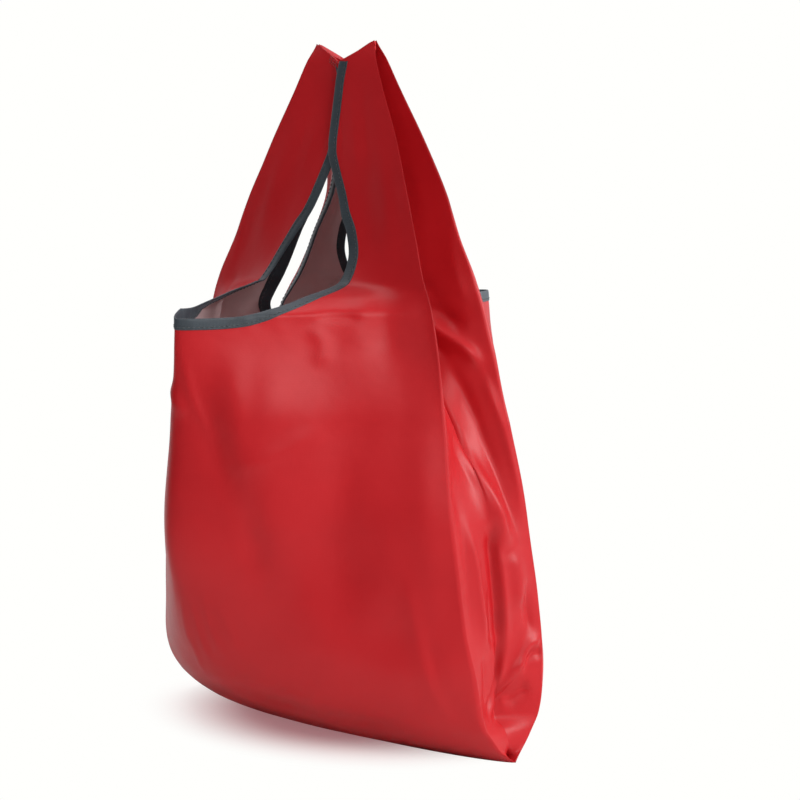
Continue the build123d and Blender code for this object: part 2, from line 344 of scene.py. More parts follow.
wall = []
for ratio, zIn, zOut in rows:
    z = zIn + (zOut - zIn) * acrossWall
    wall.append(wallPoint(ratio + (1 - ratio) * acrossWall, z))
wall = np.array(wall)
gusset = []
for ratio, zIn, zOut in rows:
    z = np.full(len(acrossGusset), zOut)
    if zOut > bag["yoke"]:  # the sloping top carries on across the folded strap
        innerX = gussetPoint(np.array(slitHalf(zOut)), np.array(zOut))[0]
        share = (zOut - bag["yoke"]) / (bag["topOuter"] - bag["yoke"])
        z = zOut - (bag["topOuter"] - topHeight(innerX)) * share * acrossGusset
    cornerY = sectionAt(z)[:, 1]
    innerShare = slitHalf(z[-1]) / cornerY[-1] if zOut > bag["slitFoot"] else 0.0
    gusset.append(gussetPoint(cornerY * (1 + (innerShare - 1) * acrossGusset), z))
gusset = np.array(gusset)
cornerEnd, cornerGap, _, foldEnd = bag["sections"][0][1:5]
base = []  # the bottom, from the seam in its middle out to the foot of the wall
for k in range(detail["baseRows"] + 1):
    share = 1 - k / detail["baseRows"]
    edge = wall[0].copy()
    inner = -cornerGap * np.clip((edge[:, 0] - foldEnd) / (cornerEnd - foldEnd), 0, 1)
    edge[:, 1] = edge[:, 1] + (inner - edge[:, 1]) * share
    edge[:, 2] = 0.0
    base.append(edge)
base = np.array(base)
partNames = ["bagShell", "rightFrontStrap", "rightBackStrap", "leftFrontStrap", "leftBackStrap"]
quarters = [((1, 1), 1), ((1, -1), 2), ((-1, 1), 3), ((-1, -1), 4)]
for (sx, sy), strap in quarters:
    turn = np.array([sx, sy, 1.0])
    flip = sx * sy < 0
    pick = lambda i, strap=strap: 0 if i < yokeRow else strap
    addGrid(wall * turn, pick, flip, acrossWall, 0 * acrossWall)
    addGrid(gusset * turn, pick, flip, 1 - acrossGusset, acrossGusset)
    addGrid(base * turn, lambda i: 0, flip, 0 * acrossWall, 0 * acrossWall)


def weld(points, faces, groups, shares=None):
    # one mesh from grids that meet, with each face's group and each point's shares
    mesh = bmesh.new()
    layer = mesh.faces.layers.int.new("part")
    share = mesh.verts.layers.float_vector.new("share")
    verts = [mesh.verts.new(p) for p in points]
    for vert, pair in zip(verts, shares or []):
        vert[share] = (*pair, 0)
    for face, group in zip(faces, groups):
        made = mesh.faces.new([verts[i] for i in face])
        made[layer] = group
    bmesh.ops.remove_doubles(mesh, verts=mesh.verts, dist=0.02)
    bmesh.ops.dissolve_degenerate(mesh, edges=mesh.edges, dist=0.01)
    mesh.verts.index_update()
    place = np.array([v.co[:] for v in mesh.verts])
    sides = [[v.index for v in f.verts] for f in mesh.faces]
    labels = [f[layer] for f in mesh.faces]
    kept = np.array([v[share][:2] for v in mesh.verts])
    mesh.free()
    return place, sides, labels, kept


smooth, sides, labels, shares = weld(points, faces, groups, shares)
print("cloth grid", len(smooth), "points")


def vertexNormals(place, sides):
    mesh = bpy.data.meshes.new("scratch")
    mesh.from_pydata(place.tolist(), [], sides)
    normals = np.empty(len(place) * 3)
    mesh.vertices.foreach_get("normal", normals)
    bpy.data.meshes.remove(mesh)
    return normals.reshape(-1, 3)


# how this bag hangs, quarter by quarter
# millimetres that a line has slid sideways (x, y) from the even form, by height
drape = {
    ("corner", -1, 1): [
        (330, 0, 0), (374, 6, 8), (409, 12, 15), (438, 17, 20), (475, 18, 27), (500, 15, 25), (540, 8, 13),
        (580, 2, 3), (607, 0, 0),
    ],
    ("corner", 1, 1): [(280, 0, 0), (330, -4, 0), (380, -7, 0), (420, -4, 0), (470, 0, 0)],
    ("corner", -1, -1): [(340, 0, 0), (390, -3, 0), (450, -3, 0), (500, 0, 0)],
    ("gusset", 1, 1): [(280, 0, 0), (330, -14, 0), (362, -24, 0), (409, -20, -3), (450, -6, -1), (500, 0, 0)],
    ("gusset", 1, -1): [(280, 0, 0), (330, -14, 0), (362, -24, 0), (409, -20, 0), (450, -6, 0), (500, 0, 0)],
    ("gusset", -1, 1): [(320, 0, 0), (362, 8, 0), (409, 11, 0), (477, 11, 0), (540, 6, 0), (590, 0, 0)],
    ("gusset", -1, -1): [(320, 0, 0), (362, 8, 0), (409, 11, 0), (477, 11, 0), (540, 6, 0), (590, 0, 0)],
    ("middle", 1, -1): [(470, 0, 0), (520, -4, -1.5), (570, -3, -1.5), (607, 0, 0)],
    ("middle", -1, -1): [
        (395, 0, 0), (420, 5, 0), (441, 8, 0), (480, 7, 0), (510, 6, 2), (540, 6, 5), (570, 6, 7), (590, 4, 4),
        (607, 0, 0),
    ],
}
# the far half of the front mouth stands higher, and the middle of the back one higher and further in
rims = {
    "frontLift": 7.0, "frontRun": (15, 58), "frontFrom": 300, "backLift": 8.0, "backIn": 9.0, "backRun": 110,
    "backFrom": 230, "besideSeam": 60,  # only what lies further than this from the middle plane
}


def drapeShift(place, shares):
    shift = np.zeros_like(place)
    for (line, sx, sy), keys in drape.items():
        here = (place[:, 0] * sx > 0) & (place[:, 1] * sy > -1e-6)
        weight = {"corner": shares[:, 0], "gusset": shares[:, 1], "middle": 1 - shares.sum(axis=1)}[line]
        soft = weight * weight * (3 - 2 * weight) if line == "corner" else weight
        shift[:, :2] += throughKeys(keys)(place[:, 2]) * (soft * here)[:, None]
    rise = np.clip((place[:, 2] - rims["frontFrom"]) / (mouthLow - rims["frontFrom"]), 0, 1) ** 2
    begin, end = rims["frontRun"]
    left = np.clip(-place[:, 0] / begin, 0, 1) * np.clip((end + place[:, 0]) / (end - begin), 0, 1)
    shift[:, 2] += rims["frontLift"] * rise * left * (place[:, 1] < -rims["besideSeam"])
    rise = np.clip((place[:, 2] - rims["backFrom"]) / (mouthLow - rims["backFrom"]), 0, 1) ** 1.5
    middle = np.clip(1.2 - np.abs(place[:, 0]) / rims["backRun"], 0, 1) * rise * (place[:, 1] > rims["besideSeam"])
    shift[:, 2] += rims["backLift"] * middle
    shift[:, 1] -= rims["backIn"] * middle
    return shift


# folds and wrinkles
# each: points on the cloth, height out of it (mm), half width (mm)


def onWall(x, z, sx=1, sy=1):
    ratio = x / sectionAt(float(z))[0]
    return wallPoint(np.array(ratio), np.array(float(z))) * (sx, sy, 1)


def onGusset(y, z, sx=1):
    point = gussetPoint(np.array(abs(float(y))), np.array(float(z)))
    return point * (sx, 1 if y < 0 else -1, 1)


folds = []


def addFold(path, height, width, ends=(0.3, 0.3)):
    # width: one half width, or one for each side, left and right of the way the path goes;
    # ends: share of the path over which the fold grows and dies away
    folds.append((np.array(path), height, width if isinstance(width, tuple) else (width, width), ends))


def nearPath(place, normal, path):
    # distance to a path, how far along it (0 to 1), and whether the place is on its left
    lengths = np.linalg.norm(np.diff(path, axis=0), axis=1)
    total, run = lengths.sum(), 0.0
    best, along, left = np.full(len(place), 1e9), np.zeros(len(place)), np.zeros(len(place), bool)
    for a, b, length in zip(path, path[1:], lengths):
        t = np.clip((place - a) @ (b - a) / length**2, 0, 1)
        gap = np.linalg.norm(place - (a + t[:, None] * (b - a)), axis=1)
        closer = gap < best
        best[closer], along[closer] = gap[closer], ((run + t * length) / total)[closer]
        side = np.einsum("ij,ij->i", np.cross(b - a, place - a), normal) > 0
        left[closer] = side[closer]
        run += length
    return best, along, left


def curved(path):
    # the same path with its corners rounded, as finer steps
    keys = np.column_stack([np.linspace(0, 1, len(path)), path])
    return throughKeys(keys)(np.linspace(0, 1, 4 * len(path))) if len(path) > 2 else path


def foldHeights(place, normal):
    lift = np.zeros(len(place))
    for path, height, width, ends in folds:
        path = curved(path)
        reach = 3.2 * max(width)  # beyond this a fold is flat
        near = np.all((place > path.min(axis=0) - reach) & (place < path.max(axis=0) + reach), axis=1)
        if near.any():
            gap, along, left = nearPath(place[near], normal[near], path)
            grow = np.clip(along / max(ends[0], 0.01), 0, 1) * np.clip((1 - along) / max(ends[1], 0.01), 0, 1)
            share = gap / np.where(left, width[0], width[1])
            crest = 2.0 if max(width) > 8 else 1.5  # wide folds are round, narrow ones sharper
            lift[near] += height * np.exp(-(share**crest)) * grow * grow * (3 - 2 * grow)
    return lift


# on the front and back: path as (x, z), height, half width
wallFolds = {
    "rightHalf": [
        ([(28, 362), (34, 308), (40, 252), (50, 178)], 2.2, 12),
        ([(16, 330), (24, 290), (41, 236), (54, 186), (60, 140)], -3.2, 12),
        ([(140, 180), (152, 120), (166, 70), (182, 30)], 1.8, 6),
        ([(158, 120), (168, 74), (184, 30)], -1.6, 5),
        ([(62, 374), (76, 374), (90, 370)], -1.6, 4),
        ([(74, 396), (86, 372), (92, 340)], 1.2, 12),
        ([(92, 410), (104, 376), (112, 330)], -1.6, 14),
        ([(60, 368), (70, 352), (74, 330)], 1.6, 6),
        ([(10, 60), (60, 44), (110, 34), (150, 26)], -1.8, 14),
        ([(30, 250), (60, 262), (86, 290)], 1.2, 8),
    ],
    "leftHalf": [
        ([(20, 340), (32, 280), (44, 210), (48, 150)], 1.6, 16),
        ([(52, 350), (66, 280), (76, 190), (80, 110)], -3.4, 18),
        ([(86, 345), (98, 270), (112, 180), (118, 100)], 3.8, 18),
        ([(118, 330), (132, 240), (148, 150), (160, 70)], -3.4, 13),
        ([(128, 290), (146, 200), (164, 110), (180, 40)], 1.8, 10),
        ([(72, 400), (88, 370), (96, 330)], 2.0, 8),
        ([(96, 410), (110, 370), (118, 330)], -2.2, 8),
        ([(24, 46), (70, 40), (120, 30)], -1.6, 12),
        ([(150, 150), (166, 90), (184, 34)], -1.6, 5),
    ],
}
# on the gussets: path as (y, z), height, half width (first figure: the side towards the back, going down)
gussetFolds = [
    ([(5, 202), (3, 184), (1, 140), (2, 102), (3, 88)], -7.0, (4.6, 8.0), (0.2, 0.25)),
    ([(2, 104), (-1, 78), (-10, 54), (-22, 36)], -4.5, (3.4, 4.6), (0.2, 0.2)),
    ([(8, 196), (7, 150), (7, 112), (10, 84)], 3.4, 5),
    ([(-30, 214), (-25, 172), (-23, 130), (-18, 86)], 3.2, 6),
    ([(-36, 262), (-36, 222), (-38, 174), (-39, 138), (-40, 100)], -1.8, 6),
    ([(-10, 150), (-11, 120), (-9, 92)], -2.4, 3.5),
    ([(-8, 104), (-12, 76), (-22, 46)], 2.4, 4.0),
    ([(-26, 96), (-26, 70), (-28, 46)], -1.8, 4),
    ([(-34, 322), (-22, 294), (-11, 268), (-1, 240), (8, 214), (16, 190), (26, 158)], 6.6, (9, 11)),
    ([(-22, 284), (-12, 250), (-4, 222)], -2.0, 4),
    ([(12, 346), (17, 312), (21, 274), (26, 238), (31, 204), (36, 172)], -4.6, 6.5),
    ([(29, 336), (33, 302), (38, 264), (42, 226), (44, 190)], 2.6, 4),
    ([(0, 334), (4, 300), (6, 262), (9, 232), (14, 204), (22, 170)], 3.0, (8, 6)),
    ([(-4, 378), (8, 367), (16, 355), (26, 340), (31, 322)], 6.4, (4.6, 5.4)),
    ([(2, 362), (8, 350), (16, 334)], -4.4, 3.4),
    ([(10, 386), (18, 374), (28, 358)], -3.6, 4.5),
    ([(24, 178), (26, 150), (27, 122)], 4.2, 11),
    ([(34, 150), (35, 122), (36, 100)], -3.0, 5),
    ([(17, 66), (22, 78), (29, 90), (37, 95), (44, 92)], 3.8, 4.4, (0.4, 0.1)),
    ([(24, 70), (31, 82), (39, 86), (45, 82)], -2.8, 3.6, (0.3, 0.1)),
    ([(-20, 34), (-6, 46), (8, 62), (22, 78), (36, 76)], 3.8, 3.8),
    ([(8, 44), (20, 54), (32, 60)], -3.0, 6),
    ([(-22, 34), (-8, 52), (4, 76), (10, 100)], 3.4, 3.4, (0.2, 0.4)),
    ([(-16, 34), (4, 50), (16, 72)], -2.6, 3.4, (0.2, 0.4)),
    ([(14, 410), (20, 380), (26, 352)], -2.4, 6),
    ([(26, 470), (29, 420), (32, 372)], 2.0, 5),
]
for sx, half in ((1, "rightHalf"), (-1, "leftHalf")):
    for sy in (1, -1):
        for path, height, width in wallFolds[half]:
            reach, turn = (1, 0) if sy > 0 else (0.9, 7)
            addFold([onWall(x * reach, z - turn * math.sin(z / 40), sx, sy) for x, z in path], height * reach, width)
    for path, height, width, *ends in gussetFolds:
        # the far gusset has the same folds the other way round and a little higher
        line = [onGusset(y * sx, z + (0 if sx > 0 else 6 * math.sin(z / 60)), sx) for y, z in path]
        addFold(line, height, width, *ends)
# a crisp crease from the mouth's tip, and fine ones low on the front
for path, height, width in (
    ([(4, 352), (12, 312), (22, 284), (28, 262)], 1.7, 2.4), ([(-12, 322), (0, 308), (8, 294)], 2.6, 5),
    ([(20, 158), (22, 124), (28, 92)], 1.3, 2.6), ([(10, 150), (13, 118), (10, 88)], 1.5, 2.4),
    ([(3, 148), (-1, 120), (-4, 98)], 1.2, 2.6), ([(2, 112), (-2, 92), (-8, 72)], 1.2, 2.6),
    ([(15, 140), (16, 112), (16, 88)], -1.2, 2.6), ([(30, 150), (36, 118), (44, 90)], 1.0, 4.0),
):
    for sy in (1, -1):
        addFold([onWall(abs(x), z, math.copysign(1, x), sy) for x, z in path], height, width)
# broad bends of the front's right half alone
for path, height, width in (
    ([(44, 350), (52, 290), (57, 220), (58, 140)], 3.8, 28),
    ([(92, 345), (99, 290), (104, 230), (106, 160), (102, 100)], -4.8, 30),
    ([(132, 330), (146, 240), (158, 150), (166, 90)], 1.5, 14),
):
    addFold([onWall(x, z) for x, z in path], height, width)
# puckers where the binding draws the mouth in
for k in range(36):
    sx, sy = ((1, 1), (-1, 1), (1, -1), (-1, -1))[k % 4]
    x = 9 + 5.6 * (k // 4) + 2.5 * math.sin(5.3 * k)
    foot = 375 + 0.1 * max(0, x - 24)
    size = 0.65 + 0.35 * math.sin(2.9 * k)
    path = [onWall(x, foot, sx, sy), onWall(x + 3, foot - 11 - 8 * size, sx, sy)]
    addFold(path, size * (-1) ** (k // 4), 2.0, (0.1, 0.8))
# soft pleats down the straps: share across the wall and height, at both ends
strapPleats = [
    (0.30, 586, 0.46, 480, 0.8, 7.0), (0.62, 586, 0.56, 500, -0.6, 6.0), (0.80, 570, 0.72, 420, 0.9, 9.0),
    (0.52, 520, 0.50, 404, -1.0, 12.0), (0.15, 560, 0.25, 500, -0.5, 4.0), (0.9, 510, 0.84, 400, -0.9, 8.0),
]
for sx in (1, -1):
    for sy in (1, -1):
        for fromShare, fromZ, toShare, toZ, height, width in strapPleats:
            spots = [(fromShare + (toShare - fromShare) * t, fromZ + (toZ - fromZ) * t) for t in (0, 0.5, 1)]
            addFold([wallPoint(np.array(s), np.array(z)) * (sx, sy, 1) for s, z in spots], height, width)

normals = vertexNormals(smooth, sides)
lift = foldHeights(smooth, normals)


# long soft ripples, up and aslant: each one's height, its length across and its length up, in millimetres
ripples = {"wide": (1.7, 70, 150), "mid": (0.4, 26, 60), "slant": (1.1, 46, 90)}
# the cloth is held flat at its foot and at the top seam: height where it is free, and where and over what it calms
held = {"foot": 25, "top": 590, "over": 110, "least": 0.05}


def crumple(p):
    (wideHigh, wide, wideUp), (midHigh, mid, midUp), (slantHigh, slant, slantUp) = ripples.values()
    return (
        wideHigh * noise.noise(Vector((p[0] / wide, p[1] / wide, p[2] / wideUp)))
        + midHigh * noise.noise(Vector((p[0] / mid + 3, p[1] / mid, p[2] / midUp)))
        + slantHigh * noise.noise(Vector((
            (p[0] + 0.6 * p[2]) / slant, (p[1] - 0.4 * p[2]) / slant + 7, (p[2] - 0.5 * p[0]) / slantUp,
        )))
    )


ripple = np.array([crumple(p) for p in smooth])
height = smooth[:, 2]
settle = np.clip(height / held["foot"], 0, 1) * np.clip((held["top"] - height) / held["over"], held["least"], 1)
rise = (lift + ripple) * settle
links = np.array(sorted({tuple(sorted(pair)) for s in sides for pair in zip(s, s[1:] + s[:1])}))
counts = np.bincount(links.ravel(), minlength=len(smooth))
for _ in range(2):  # evens out what the grid can't carry
    around = sum(np.bincount(links[:, a], rise[links[:, 1 - a]], len(smooth)) for a in (0, 1))
    rise = 0.5 * rise + 0.5 * around / counts
# where two layers lie close together, at a strap's folded edge, they must not pass through each other
nearEdge = np.clip((shares[:, 0] - 0.55) / 0.4, 0, 1) * np.clip((height - 380) / 40, 0, 1)
rise = np.where(rise < 0, rise * (1 - nearEdge), rise * (1 - 0.6 * nearEdge))
shaped = smooth + normals * rise[:, None] + drapeShift(smooth, shares)
print("folds shaped")

# pieces of cloth
tree = BVHTree.FromPolygons([Vector(p) for p in smooth], sides)
moved = shaped - smooth


def carried(place):
    # moves points made on the smooth form to where the shaped cloth has gone
    out = np.array(place, float)
    for k, p in enumerate(out):
        spot, _, face, _ = tree.find_nearest(Vector(p))
        corners = sides[face]
        weight = np.array([1 / (1e-3 + (Vector(smooth[i]) - spot).length) for i in corners])
        out[k] += (moved[corners] * weight[:, None]).sum(axis=0) / weight.sum()
    return out


def newObject(name, place, sides, materials, slots=None, normals=None):
    mesh = bpy.data.meshes.new(name)
    mesh.from_pydata((np.asarray(place) * mm).tolist(), [], sides)
    for material in materials:
        mesh.materials.append(material)
    mesh.polygons.foreach_set("use_smooth", [len(s) <= 4 for s in sides])  # end caps stay flat
    if slots is not None:
        mesh.polygons.foreach_set("material_index", slots)
    if normals is not None:
        mesh.normals_split_custom_set_from_vertices(normals)
    mesh.validate()
    obj = bpy.data.objects.new(name, mesh)
    scene.collection.objects.link(obj)
    return obj


def clothPiece(name, group):
    # outer red skin, inner coated skin, and a rim round the raw edges
    chosen = [s for s, label in zip(sides, labels) if label == group]
    used = sorted({i for s in chosen for i in s})
    index = {old: new for new, old in enumerate(used)}
    outer = shaped[used]
    inward = shapedNormals[used]
    nearFold = np.clip((shares[used].max(axis=1) - 0.75) / 0.22, 0, 1)
    thick = bag["clothThick"] * (1 - 0.75 * nearFold)
    inner = outer - inward * thick[:, None]
    count = len(used)
    skin = [[index[i] for i in s] for s in chosen]
    lining = [[i + count for i in s[:1] + s[:0:-1]] for s in skin]
    edges = {}
    for s in skin:
        for a, b in zip(s, s[1:] + s[:1]):
            edges[(a, b)] = edges.get((b, a), 0) + 1
    border = [(a, b) for (a, b) in edges if (b, a) not in edges]
    rim = [[b, a, a + count, b + count] for a, b in border]
    slots = [0] * len(skin) + [1] * len(lining) + [0] * len(rim)
    both = np.vstack([inward, -inward])
    return newObject(name, np.vstack([outer, inner]), skin + lining + rim, [redPolyester, greyCoating], slots, both)


shapedNormals = vertexNormals(shaped, sides)
cloth = {name: clothPiece(name, k) for k, name in enumerate(partNames)}
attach(cloth["bagShell"], "bag")
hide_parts("front_panel", "back_panel", "right_gusset", "left_gusset", "bottom_panel")
for side in ("right", "left"):
    for face in ("front", "back"):
        piece = cloth[side + face.capitalize() + "Strap"]
        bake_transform(piece)
        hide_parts(f"{side}_{face}_strap")
print("cloth pieces made")

# bound edges
binding = {
    "step": 2.6, "probe": 0.6, "wobble": (0.22, 9, 5),  # wobble: share of the height, and lengths along and across
    "stitchFromEdge": 6.9, "stitch": (0.34, 2.7, 1.4),  # thread radius, stitch length and gap
    "stitchSides": ((0.62, 1), (-1.02, -1)), "stitchStep": 1.5,  # height over the red side, and which way is out
    "wrap": [  # across the folded tape: distance from the cloth's edge, and height over the red side
        (9.0, 0.05), (8.9, 0.5), (8.3, 0.62), (6.9, 0.55), (4.6, 0.66), (2.2, 0.68), (0.5, 0.6), (-0.3, 0.3),
        (-0.5, -0.2), (-0.3, -0.7), (0.5, -1.0), (2.2, -1.08), (4.6, -1.06), (6.9, -0.95), (8.3, -1.02),
        (8.9, -0.9), (9.0, -0.45),
    ],
}


def unit(rows):
    return rows / np.linalg.norm(rows, axis=-1, keepdims=True)


def mouthRibbon(runs, distances):
    # points on the front right wall at each run along the mouth edge and each distance into the cloth
    near = binding["probe"]
    x, z = np.moveaxis(mouthAt(runs), -1, 0)
    on = lambda x, z: wallPoint(x / sectionAt(z)[..., 0], z)
    acrossX = unit(on(x + near, z) - on(np.maximum(x - near, 0), z))
    up = unit(on(x, z + near) - on(x, z - near))
    along = [on(*np.moveaxis(mouthAt(runs + step), -1, 0)) for step in (near, -near)]
    tangent = unit(along[0] - along[1])
    if runs[0] == 0:
        tangent[0] = acrossX[0] = (1, 0, 0)
    normal = unit(np.cross(acrossX, up))
    into = unit(np.cross(tangent, normal))
    ribbon = [on(np.maximum(x + into[:, 0] * d, 0), z + into[:, 2] * d) for d in distances]
    return np.stack(ribbon, axis=1), normal


def slitRibbon(runs, distances):
    near = binding["probe"]
    y, z = np.moveaxis(slitAt(runs), -1, 0)
    acrossY = unit(gussetPoint(y + near, z) - gussetPoint(y - near, z))
    up = unit(gussetPoint(y, z + near) - gussetPoint(y, z - near))
    along = [gussetPoint(*np.moveaxis(slitAt(runs + step), -1, 0)) for step in (near, -near)]
    tangent = unit(along[0] - along[1])
    normal = unit(np.cross(up, acrossY))
    if runs[0] == 0:
        tangent[0] = (0, -1, 0)
        normal[0] = (1, 0, 0)
    into = unit(np.cross(normal, tangent))
    ribbon = [gussetPoint(np.maximum(y - into[:, 1] * d, 0), z + into[:, 2] * d) for d in distances]
    return np.stack(ribbon, axis=1), normal


def tapeGrid(ribbon, low, high, turn, beyond):
    runs = np.linspace(low, high, int((high - low) / binding["step"]) + 2)
    if beyond:
        more = binding["step"]
        runs = np.concatenate([runs[:1] - more if low > 0 else [], runs, runs[-1:] + more])
    places, normal = ribbon(runs, [d for d, _ in binding["wrap"]])
    seed = turn[0] + 2 * turn[1]
    much, lengthwise, crosswise = binding["wobble"]
    wobble = np.array([
        [noise.noise(Vector((r / lengthwise, d / crosswise, seed))) for d, _ in binding["wrap"]] for r in runs
    ])
    heights = np.array([h for _, h in binding["wrap"]])[None, :] * (1 + much * wobble)
    return (places + normal[:, None] * heights[..., None]) * turn


def gridFaces(start, count, width, flip, closed=True):
    made = []
    for i in range(count - 1):
        for j in range(width if closed else width - 1):
            a, b = start + i * width + j, start + i * width + (j + 1) % width
            quad = (a, b, b + width, a + width)
            made.append(quad[::-1] if flip else quad)
    return made


def tapeTube(ribbon, spans, beyond):
    places, made, width = [], [], len(binding["wrap"])
    for low, high, turn in spans:
        grid = tapeGrid(ribbon, low, high, np.array(turn), beyond)
        start = len(places)
        flip = turn[0] * turn[1] > 0
        made += gridFaces(start, len(grid), width, flip)
        places.extend(grid.reshape(-1, 3).tolist())
        for row, ahead in ((0, flip), (len(grid) - 1, not flip)):
            if not beyond and (row or low > 0):
                cap = tuple(start + row * width + j for j in range(width))
                made.append(cap if ahead else cap[::-1])
    return weld(places, made, [0] * len(made))[:2]


def tapePiece(name, ribbon, spans):
    place, made = tapeTube(ribbon, spans, False)
    # the normals come from a tape that runs on past its ends, so no joint shows where two tapes meet
    longPlace, longMade = tapeTube(ribbon, spans, True)
    longNormals = vertexNormals(carried(longPlace), longMade)
    finder = KDTree(len(longPlace))
    for k, p in enumerate(longPlace):
        finder.insert(Vector(p), k)
    finder.balance()
    ends = [tuple(longNormals[finder.find(Vector(p))[1]]) for p in place]
    piece = newObject(name, carried(place), made, [greyTape], normals=ends)
    return piece


# a stitch: share of its length, then its thickness and its height over the cloth, as shares of the thread's radius
stitchShape = [(0, 0.35, -0.5), (0.2, 0.9, 0.35), (0.5, 1, 0.6), (0.8, 0.9, 0.35), (1, 0.35, -0.5)]


def stitchRow(name, tracks, thread, radius, length, gap):
    # a row of short raised stitches along each track of (point, normal) rows
    places, made, sidesRound = [], [], 6
    for track, normals in tracks:
        run = np.concatenate([[0], np.cumsum(np.linalg.norm(np.diff(track, axis=0), axis=1))])
        for begin in np.arange(gap, run[-1] - length, length + gap):
            spots = np.array([begin + length * share for share, _, _ in stitchShape])
            line = np.stack([np.interp(spots, run, track[:, k]) for k in range(3)], axis=1)
            out = unit(np.stack([np.interp(spots, run, normals[:, k]) for k in range(3)], axis=1))
            way = unit(line[-1] - line[0])
            cross = unit(np.cross(way, out))
            start = len(places)
            for k, (_, size, lift) in enumerate(stitchShape):
                for a in range(sidesRound):
                    turn = 2 * math.pi * a / sidesRound
                    ring = cross[k] * math.cos(turn) + out[k] * math.sin(turn)
                    places.append(line[k] + out[k] * lift * radius + ring * size * radius)
            made += gridFaces(start, len(stitchShape), sidesRound, True)
            last = start + (len(stitchShape) - 1) * sidesRound
            made += [tuple(range(start, start + sidesRound)), tuple(range(last, last + sidesRound))[::-1]]
    return newObject(name, places, made, [thread])


def tapeStitches(name, ribbon, spans):
    tracks = []
    for low, high, turn in spans:
        runs = np.linspace(low, high, int((high - low) / binding["stitchStep"]) + 2)
        places, normal = ribbon(runs, [binding["stitchFromEdge"]])
        for height, side in binding["stitchSides"]:
            line = (places[:, 0] + normal * height) * turn
            tracks.append((carried(line), normal * turn * side))
    piece = stitchRow(name, tracks, greyThread, *binding["stitch"])
    return piece


# each bound edge: name, ribbon, spans of (from, to, quarter), the handle it runs on to, and the CAD node
edges = []
for name, sy in (("front", 1), ("back", -1)):
    spans = [(0, mouthYoke, (sx, sy, 1)) for sx in (1, -1)]
    edges.append((name + "Mouth", mouthRibbon, spans, None, name + "_mouth_binding"))
for name, sx in (("right", 1), ("left", -1)):
    spans = [(0, slitYoke, (sx, sy, 1)) for sy in (1, -1)]
    edges.append((name + "Slit", slitRibbon, spans, None, name + "_slit_binding"))
    for face, sy in (("front", 1), ("back", -1)):
        handle, start, node = name + "_handle", name + face.capitalize() + "Strap", f"{name}_{face}"
        quarter = (sx, sy, 1)
        edges.append((start + "Mouth", mouthRibbon, [(mouthYoke, mouthTop, quarter)], handle, node + "_mouth_tape"))
        edges.append((start + "Slit", slitRibbon, [(slitYoke, slitTop, quarter)], handle, node + "_slit_tape"))
for name, ribbon, spans, handle, node in edges:
    tape = tapePiece(name + "Tape", ribbon, spans)
    stitches = tapeStitches(name + "Stitches", ribbon, spans)
    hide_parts(node)
    for piece in (tape, stitches):
        if handle:
            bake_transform(piece)
        else:
            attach(piece, "bag")
print("edges bound and stitched")

# handle tops
handleTop = {
    "outer": 34.5, "inner": 3.2, "height": 8.0, "halfThick": 7.6, "across": 26, "along": 22,
    "overEdge": 1.0, "droop": 2.2,  # the roll stands over the cloth's top edge, and its ends droop
    "pinch": 0.16, "boxy": (0.7, 0.6), "rough": (0.5, 6, 5),  # layers show as three ridges; rough: height, lengths
}
# two rows of stitches below the top edge; a stitch is a thread's radius, a length and a gap
topRows = {"drops": (4.6, 7.0), "from": 4.5, "to": 33, "sunk": 0.6, "stitch": (0.3, 2.2, 1.0)}


def handleThick(share):
    return handleTop["halfThick"] * (1 - 0.8 * share**1.3)


def handleTopPiece(name, sx):
    # four layers turned under and sewn: a narrow roll with a soft uneven top
    places, count, width = [], handleTop["along"], handleTop["across"]
    half, (boxyY, boxyZ), (roughHigh, roughX, roughYZ) = handleTop["height"] / 2, handleTop["boxy"], handleTop["rough"]
    for i in range(count):
        share = i / (count - 1)
        x = handleTop["inner"] + (handleTop["outer"] - handleTop["inner"]) * share
        crest = topHeight(x) + handleTop["overEdge"] - handleTop["droop"] * (2 * share - 1) ** 6
        thick = handleThick(share)
        for j in range(width):
            turn = 2 * math.pi * j / width
            y, z = math.cos(turn), math.sin(turn)
            pinch = 1 - handleTop["pinch"] * math.cos(3 * turn) ** 2
            y = math.copysign(abs(y) ** boxyY, y) * thick * pinch
            z = crest - half + math.copysign(abs(z) ** boxyZ, z) * half
            rough = roughHigh * noise.noise(Vector((x / roughX, y / roughYZ, z / roughYZ + 7 * sx)))
            places.append((x * sx, y + rough, z + 0.6 * rough))
    made = gridFaces(0, count, width, sx > 0)
    ends = [tuple(range(width)), tuple(range((count - 1) * width, count * width))]
    made += [ends[0][:: -1 if sx < 0 else 1], ends[1][:: 1 if sx < 0 else -1]]
    piece = newObject(name, places, made, [redPolyester])
    return piece


def topStitches(name, sx):
    tracks = []
    for drop in topRows["drops"]:
        xs = np.linspace(topRows["from"], topRows["to"], 24)
        out = handleThick((xs - handleTop["inner"]) / (handleTop["outer"] - handleTop["inner"])) - topRows["sunk"]
        for side in (1, -1):
            line = np.column_stack([xs * sx, side * out, topHeight(xs) - drop])
            tracks.append((line, np.array([(0, side, 0.0)] * len(xs))))
    return stitchRow(name, tracks, redThread, *topRows["stitch"])


for name, sx in (("right", 1), ("left", -1)):
    roll = handleTopPiece(name + "HandleTop", sx)
    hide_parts(name + "_handle_seam")
    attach(roll, name + "_handle")
    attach(topStitches(name + "HandleTopStitches", sx), name + "_handle")
print("handle tops made")

# seam allowances inside
seams = {
    "width": 8, "thick": 1.2, "wave": 1.1, "waveLength": 17.0, "bottomHalf": 91, "bottom": 1.2,
    "sideRun": (8, 290), "offFold": 1.6,
}


